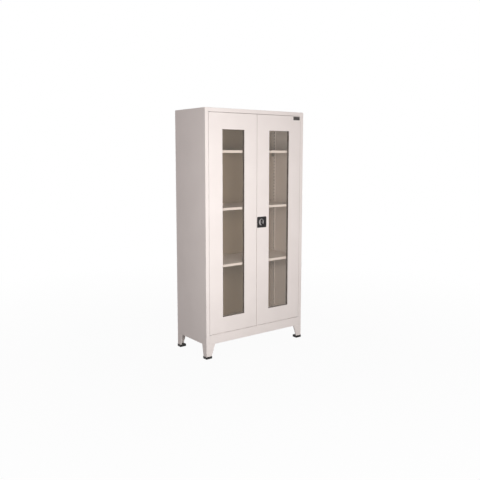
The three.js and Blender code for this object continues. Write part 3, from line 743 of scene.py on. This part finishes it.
def row_mesh(tree, settings):
    """The plain mesh of one row of heads."""
    holder = bpy.data.objects.new("row", bpy.data.meshes.new("row"))
    bpy.context.scene.collection.objects.link(holder)
    modifier = holder.modifiers.new("row", "NODES")
    modifier.node_group = tree
    for name, value in settings.items():
        modifier[socket_of(tree, name)] = value
    bpy.context.view_layer.update()
    seen = holder.evaluated_get(bpy.context.evaluated_depsgraph_get())
    mesh = bpy.data.meshes.new_from_object(seen)
    bpy.data.objects.remove(holder)
    return mesh


def fasteners(tree, name, head, facing, rows, material, body):
    """One piece of all the rows of a kind of head on a body. A row is (start, end, count)."""
    whole = bmesh.new()
    for start, end, count in rows:
        settings = dict(HEADS[head], Start=start, End=end, Count=count, Turn=FACING[facing],
                        Material=material)
        mesh = row_mesh(tree, settings)
        whole.from_mesh(mesh)
        bpy.data.meshes.remove(mesh)
    piece = new_piece(name, whole, material)
    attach(piece, body)


def back_rivets(tree):
    """A row of rivets up each side panel's rear flange."""
    rows = []
    for side in SIDES:
        low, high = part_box(side + "_side_panel")
        x = high.x - RIVET_SIDE_INSET if side == "right" else low.x + RIVET_SIDE_INSET
        start = (x, high.y, low.z + RIVET_LOW_INSET)
        end = (x, high.y, high.z - RIVET_HIGH_INSET)
        rows.append((start, end, RIVET_COUNT))
    fasteners(tree, "back_rivets", "rivet", "back", rows, PAINT, "cabinet")


def leg_bolts(tree):
    """A pair of bolt heads under the top of each leg."""
    rows = []
    for corner in CORNERS:
        low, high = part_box(corner + "_leg")
        middle = (low + high) / 2
        under = high.z - BOLT_DROP
        start = (middle.x - BOLT_OFFSET, middle.y, under)
        end = (middle.x + BOLT_OFFSET, middle.y, under)
        rows.append((start, end, BOLT_COUNT))
    fasteners(tree, "leg_bolts", "bolt", "down", rows, ZINC, "cabinet")


def door_screws(tree, side):
    """A row of screws up each edge of a door's inner panel."""
    body = side + "_door"
    low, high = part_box(body + "_inner_panel")
    rows = []
    for x in (low.x + SCREW_SIDE_INSET, high.x - SCREW_SIDE_INSET):
        start = (x, high.y, low.z + SCREW_END_INSET)
        end = (x, high.y, high.z - SCREW_END_INSET)
        rows.append((start, end, SCREW_COUNT))
    fasteners(tree, body + "_screws", "screw", "back", rows, ZINC, body)


def all_fasteners():
    """Rivets, bolts and screws."""
    tree = fastener_tree()
    back_rivets(tree)
    leg_bolts(tree)
    for side in SIDES:
        door_screws(tree, side)


# Stage

def camera():
    """The photograph's camera."""
    lens = bpy.data.cameras.new("camera")
    lens.lens = CAMERA_LENS
    lens.sensor_width = CAMERA_SENSOR
    lens.shift_y = CAMERA_SHIFT
    eye = bpy.data.objects.new("camera", lens)
    eye.location = CAMERA_EYE
    eye.rotation_euler = (math.pi / 2 + CAMERA_TILT, 0, -CAMERA_TURN)
    bpy.context.scene.collection.objects.link(eye)
    bpy.context.scene.camera = eye


def lamp(name, place, width, height, power):
    """A flat lamp aimed at the cabinet, which isn't seen itself."""
    data = bpy.data.lights.new(name, "AREA")
    data.shape = "RECTANGLE"
    data.size = width
    data.size_y = height
    data.energy = power
    data.color = LAMP_COLOUR
    thing = bpy.data.objects.new(name, data)
    thing.location = place
    thing.visible_camera = False
    thing.visible_transmission = False
    thing.visible_glossy = False
    bpy.context.scene.collection.objects.link(thing)
    direction = Vector(LAMP_AIM) - thing.location
    thing.rotation_euler = direction.to_track_quat("-Z", "Y").to_euler()


def math_node(tree, operation, first, second):
    """A math node on two values, each a socket or a plain number."""
    node = tree.nodes.new("ShaderNodeMath")
    node.operation = operation
    for value, socket in zip((first, second), node.inputs):
        if isinstance(value, (int, float)):
            socket.default_value = value
        else:
            tree.links.new(value, socket)
    return node.outputs["Value"]


def seen_share(tree):
    """How much of the white background a ray shows: all of it to the camera and through glass."""
    path = tree.nodes.new("ShaderNodeLightPath")
    gloss = math_node(tree, "MULTIPLY", path.outputs["Is Glossy Ray"], GLOSS_SHARE)
    shown = math_node(tree, "MAXIMUM", path.outputs["Is Camera Ray"], gloss)
    shown = math_node(tree, "MAXIMUM", shown, path.outputs["Is Transmission Ray"])
    before_matt = math_node(tree, "LESS_THAN", path.outputs["Diffuse Depth"], 0.5)
    return math_node(tree, "MULTIPLY", shown, before_matt)


def room():
    """A dim room that looks white."""
    world = bpy.data.worlds.new("room")
    bpy.context.scene.world = world
    world.use_nodes = True
    tree = world.node_tree
    light = tree.nodes["Background"]
    light.inputs["Color"].default_value = ROOM_COLOUR
    light.inputs["Strength"].default_value = ROOM_LIGHT
    white = tree.nodes.new("ShaderNodeBackground")
    white.inputs["Color"].default_value = WHITE
    white.inputs["Strength"].default_value = 1.0
    mix = tree.nodes.new("ShaderNodeMixShader")
    tree.links.new(seen_share(tree), mix.inputs["Fac"])
    tree.links.new(light.outputs["Background"], mix.inputs[1])
    tree.links.new(white.outputs["Background"], mix.inputs[2])
    tree.links.new(mix.outputs["Shader"], tree.nodes["World Output"].inputs["Surface"])


def floor_material():
    """Matt and pale, with a glow that grows with the distance from the cabinet."""
    material = bpy.data.materials.new("floor")
    material.use_nodes = True
    tree = material.node_tree
    matt = tree.nodes.new("ShaderNodeBsdfDiffuse")
    matt.inputs["Color"].default_value = FLOOR_COLOUR
    glow = tree.nodes.new("ShaderNodeEmission")
    glow.inputs["Color"].default_value = WHITE
    place = tree.nodes.new("ShaderNodeTexCoord")
    away = tree.nodes.new("ShaderNodeVectorMath")
    away.operation = "LENGTH"
    tree.links.new(place.outputs["Object"], away.inputs[0])
    fade = tree.nodes.new("ShaderNodeMapRange")
    fade.inputs["From Min"].default_value = FLOOR_NEAR
    fade.inputs["From Max"].default_value = FLOOR_FAR
    fade.inputs["To Min"].default_value = FLOOR_GLOW_NEAR
    fade.inputs["To Max"].default_value = FLOOR_GLOW_FAR
    tree.links.new(away.outputs["Value"], fade.inputs["Value"])
    share = math_node(tree, "MULTIPLY", seen_share(tree), fade.outputs["Result"])
    mix = tree.nodes.new("ShaderNodeMixShader")
    tree.links.new(share, mix.inputs["Fac"])
    tree.links.new(matt.outputs["BSDF"], mix.inputs[1])
    tree.links.new(glow.outputs["Emission"], mix.inputs[2])
    tree.links.new(mix.outputs["Shader"], tree.nodes["Material Output"].inputs["Surface"])
    return material


def floor():
    """A floor that keeps the cabinet's soft shadow and fades to white further out."""
    shape = bmesh.new()
    bmesh.ops.create_grid(shape, x_segments=1, y_segments=1, size=FLOOR_SIZE / 2)
    new_piece("floor", shape, floor_material())


bpy.context.scene.view_settings.view_transform = "Standard"
camera()
lamp("front_lamp", KEY_PLACE, KEY_WIDTH, KEY_HEIGHT, KEY_POWER)
lamp("top_lamp", TOP_PLACE, TOP_WIDTH, TOP_HEIGHT, TOP_POWER)
lamp("rear_lamp", REAR_PLACE, REAR_WIDTH, REAR_HEIGHT, REAR_POWER)
room()
floor()
carcass()
doors()
lock()
badge()
for side in SIDES:
    window_shade_strip(side)
for corner in CORNERS:
    slot_shade_liner(corner)
all_fasteners()
